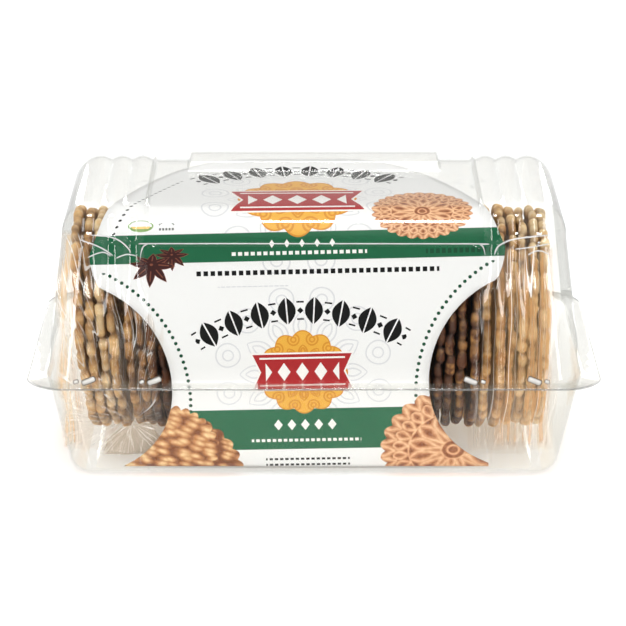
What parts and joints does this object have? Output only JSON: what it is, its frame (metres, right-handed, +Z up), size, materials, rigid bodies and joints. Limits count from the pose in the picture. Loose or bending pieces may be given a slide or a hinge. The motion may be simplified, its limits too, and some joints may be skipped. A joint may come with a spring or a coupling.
{
  "type": "clear hinged clamshell pack of pizzelle wafer cookies",
  "caption": "Long clear clamshell with a domed fluted lid on a living hinge, a bent printed card, and a row of thin lobed wafer cookies standing on edge inside.",
  "frame": {"origin": "on the floor plane, under the middle of the pack's outline", "axes": "+X along the length to the right, +Y to the back edge with the hinge, +Z up"},
  "size_m": [0.2382, 0.122, 0.1188],
  "materials": {
    "clear_plastic": "clear thermoformed sheet, glossy",
    "clear_film": "thin clear crumpled film",
    "printed_card": "smooth coated white card with flat printed colours",
    "baked_wafer": "dry matt golden-brown wafer"
  },
  "bodies": {
    "tray": {"tray": "clear_plastic", "hinge_fold": "clear_plastic", "film_flap": "clear_film", "cookie_01": "baked_wafer", "cookie_02": "baked_wafer", "cookie_03": "baked_wafer", "cookie_04": "baked_wafer", "cookie_05": "baked_wafer", "cookie_06": "baked_wafer", "cookie_07": "baked_wafer", "cookie_08": "baked_wafer", "cookie_09": "baked_wafer", "cookie_10": "baked_wafer", "cookie_11": "baked_wafer", "cookie_12": "baked_wafer", "cookie_13": "baked_wafer", "cookie_14": "baked_wafer", "cookie_15": "baked_wafer", "cookie_16": "baked_wafer", "cookie_17": "baked_wafer", "cookie_18": "baked_wafer", "cookie_19": "baked_wafer", "cookie_20": "baked_wafer", "cookie_21": "baked_wafer", "cookie_22": "baked_wafer", "cookie_23": "baked_wafer", "cookie_24": "baked_wafer", "cookie_25": "baked_wafer", "cookie_26": "baked_wafer", "cookie_27": "baked_wafer", "cookie_28": "baked_wafer", "cookie_29": "baked_wafer", "cookie_30": "baked_wafer", "cookie_31": "baked_wafer", "cookie_32": "baked_wafer", "cookie_33": "baked_wafer", "cookie_34": "baked_wafer", "cookie_35": "baked_wafer", "cookie_36": "baked_wafer", "cookie_37": "baked_wafer", "cookie_38": "baked_wafer", "cookie_39": "baked_wafer", "cookie_40": "baked_wafer"},
    "lid": {"lid": "clear_plastic", "card": "printed_card"}
  },
  "joints": [
    {"name": "lid_hinge", "type": "hinge", "parent": "tray", "child": "lid", "pos_m": [0, 0.0601, 0.04515], "axis": [-1, 0, 0], "range_deg": [0, 145]}
  ]
}
